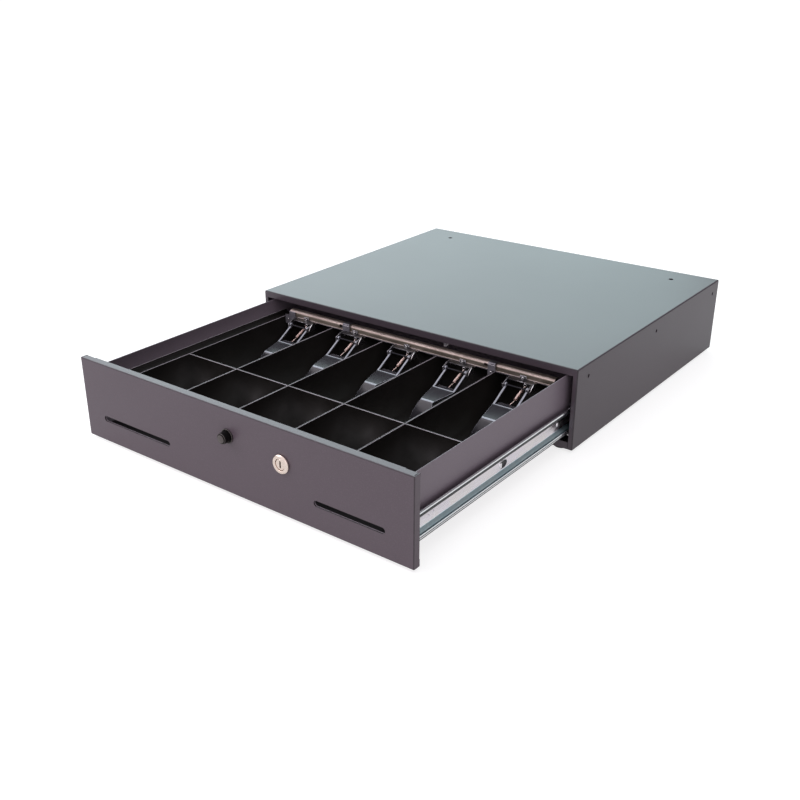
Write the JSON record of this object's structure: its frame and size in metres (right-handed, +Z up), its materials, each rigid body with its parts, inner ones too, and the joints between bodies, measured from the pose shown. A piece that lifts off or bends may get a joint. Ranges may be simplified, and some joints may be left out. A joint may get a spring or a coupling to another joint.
{
  "type": "cash drawer",
  "caption": "Steel cash drawer on ball slides, standing open, with a till of note and coin compartments, sprung note hold-downs, push-button latch, key lock and media slots.",
  "frame": {"origin": "middle of the footprint of the open drawer, on the surface that its feet stand on", "axes": "+Z up; the drawer opens towards -Y; +X to the right of someone facing the drawer's front"},
  "size_m": [0.454, 0.688, 0.0978],
  "materials": {
    "black_paint": "satin black powder coat",
    "drawer_paint": "satin black powder coat, inside",
    "zinc": "bright zinc plate",
    "yellow_zinc": "yellow chromate zinc plate",
    "nickel": "nickel plate",
    "copper_wire": "copper-washed spring wire",
    "spring_steel": "bare spring steel",
    "till_plastic": "black moulded, fine texture",
    "paddle_plastic": "black moulded, slight sheen",
    "bracket_steel": "black passivated steel",
    "button_plastic": "black, satin gloss",
    "rubber": "matte black"
  },
  "bodies": {
    "case": {"case_cover": "black_paint", "case_base": "black_paint", "case_back": "black_paint", "lock_strike": "zinc", "ejector_spring": "spring_steel", "slide_outer_left": "zinc", "slide_outer_right": "zinc", "back_screw_lower_left": "zinc", "back_screw_lower_right": "zinc", "back_screw_upper_left": "zinc", "back_screw_upper_right": "zinc", "foot_front_left": "rubber", "foot_front_right": "rubber", "foot_rear_left": "rubber", "foot_rear_right": "rubber"},
    "ball_cage_left": {"ball_cage_left": "spring_steel"},
    "ball_cage_right": {"ball_cage_right": "spring_steel"},
    "drawer": {"drawer_tray": "drawer_paint", "front_panel": "black_paint", "slide_inner_left": "zinc", "slide_inner_right": "zinc", "till_tray": "till_plastic", "hold_down_rail": "yellow_zinc", "rail_foot_end": "zinc", "rail_foot_left": "zinc", "rail_foot_right": "zinc", "lock_cylinder": "nickel", "lock_nut": "zinc", "button_bezel": "button_plastic", "button_spring": "spring_steel", "latch_bracket": "zinc", "latch_spring": "spring_steel", "hold_down_bracket_1": "bracket_steel", "hold_down_bracket_2": "bracket_steel", "hold_down_bracket_3": "bracket_steel", "hold_down_bracket_4": "bracket_steel", "hold_down_bracket_5": "bracket_steel", "hold_down_pin_1": "zinc", "hold_down_pin_2": "zinc", "hold_down_pin_3": "zinc", "hold_down_pin_4": "zinc", "hold_down_pin_5": "zinc", "hold_down_spring_1": "copper_wire", "hold_down_spring_2": "copper_wire", "hold_down_spring_3": "copper_wire", "hold_down_spring_4": "copper_wire", "hold_down_spring_5": "copper_wire", "panel_screw_lower_left": "zinc", "panel_screw_lower_right": "zinc", "panel_screw_upper_left": "zinc", "panel_screw_upper_right": "zinc"},
    "lock": {"lock_plug": "nickel", "lock_cam": "zinc"},
    "button": {"release_button": "button_plastic"},
    "latch": {"latch_plate": "zinc"},
    "hold_down_1": {"hold_down_paddle_1": "paddle_plastic"},
    "hold_down_2": {"hold_down_paddle_2": "paddle_plastic"},
    "hold_down_3": {"hold_down_paddle_3": "paddle_plastic"},
    "hold_down_4": {"hold_down_paddle_4": "paddle_plastic"},
    "hold_down_5": {"hold_down_paddle_5": "paddle_plastic"}
  },
  "joints": [
    {"name": "drawer_slide", "type": "slide", "parent": "case", "child": "drawer", "axis": [0, -1, 0], "range_m": [-0.282, 0], "deforming": ["ejector_spring"]},
    {"name": "cage_roll_left", "type": "slide", "parent": "case", "child": "ball_cage_left", "axis": [0, -1, 0], "range_m": [-0.141, 0]},
    {"name": "cage_roll_right", "type": "slide", "parent": "case", "child": "ball_cage_right", "axis": [0, -1, 0], "range_m": [-0.141, 0]},
    {"name": "button_press", "type": "slide", "parent": "drawer", "child": "button", "axis": [0, 1, 0], "range_m": [0, 0.0045], "stiffness_N_per_m": 300, "springref_m": -0.003, "deforming": ["button_spring"]},
    {"name": "latch_drop", "type": "slide", "parent": "drawer", "child": "latch", "axis": [0, 0, -1], "range_m": [0, 0.0045], "deforming": ["latch_spring"]},
    {"name": "lock_turn", "type": "hinge", "parent": "drawer", "child": "lock", "pos_m": [0.072, -0.32265, 0.0606], "axis": [0, 1, 0], "range_deg": [0, 90]},
    {"name": "hold_down_lift_1", "type": "hinge", "parent": "drawer", "child": "hold_down_1", "pos_m": [-0.1592, -0.05165, 0.0642], "axis": [-1, 0, 0], "range_deg": [0, 65], "stiffness_Nm_per_rad": 0.02, "springref_deg": -34.38, "deforming": ["hold_down_spring_1"]},
    {"name": "hold_down_lift_2", "type": "hinge", "parent": "drawer", "child": "hold_down_2", "pos_m": [-0.0796, -0.05165, 0.0642], "axis": [-1, 0, 0], "range_deg": [0, 65], "stiffness_Nm_per_rad": 0.02, "springref_deg": -34.38, "deforming": ["hold_down_spring_2"]},
    {"name": "hold_down_lift_3", "type": "hinge", "parent": "drawer", "child": "hold_down_3", "pos_m": [0, -0.05165, 0.0642], "axis": [-1, 0, 0], "range_deg": [0, 65], "stiffness_Nm_per_rad": 0.02, "springref_deg": -34.38, "deforming": ["hold_down_spring_3"]},
    {"name": "hold_down_lift_4", "type": "hinge", "parent": "drawer", "child": "hold_down_4", "pos_m": [0.0796, -0.05165, 0.0642], "axis": [-1, 0, 0], "range_deg": [0, 65], "stiffness_Nm_per_rad": 0.02, "springref_deg": -34.38, "deforming": ["hold_down_spring_4"]},
    {"name": "hold_down_lift_5", "type": "hinge", "parent": "drawer", "child": "hold_down_5", "pos_m": [0.1592, -0.05165, 0.0642], "axis": [-1, 0, 0], "range_deg": [0, 65], "stiffness_Nm_per_rad": 0.02, "springref_deg": -34.38, "deforming": ["hold_down_spring_5"]}
  ],
  "couplings": [
    {"joint": "cage_roll_left", "follows": "drawer_slide", "ratio": 0.5},
    {"joint": "cage_roll_right", "follows": "drawer_slide", "ratio": 0.5},
    {"joint": "latch_drop", "follows": "button_press", "ratio": 1}
  ]
}
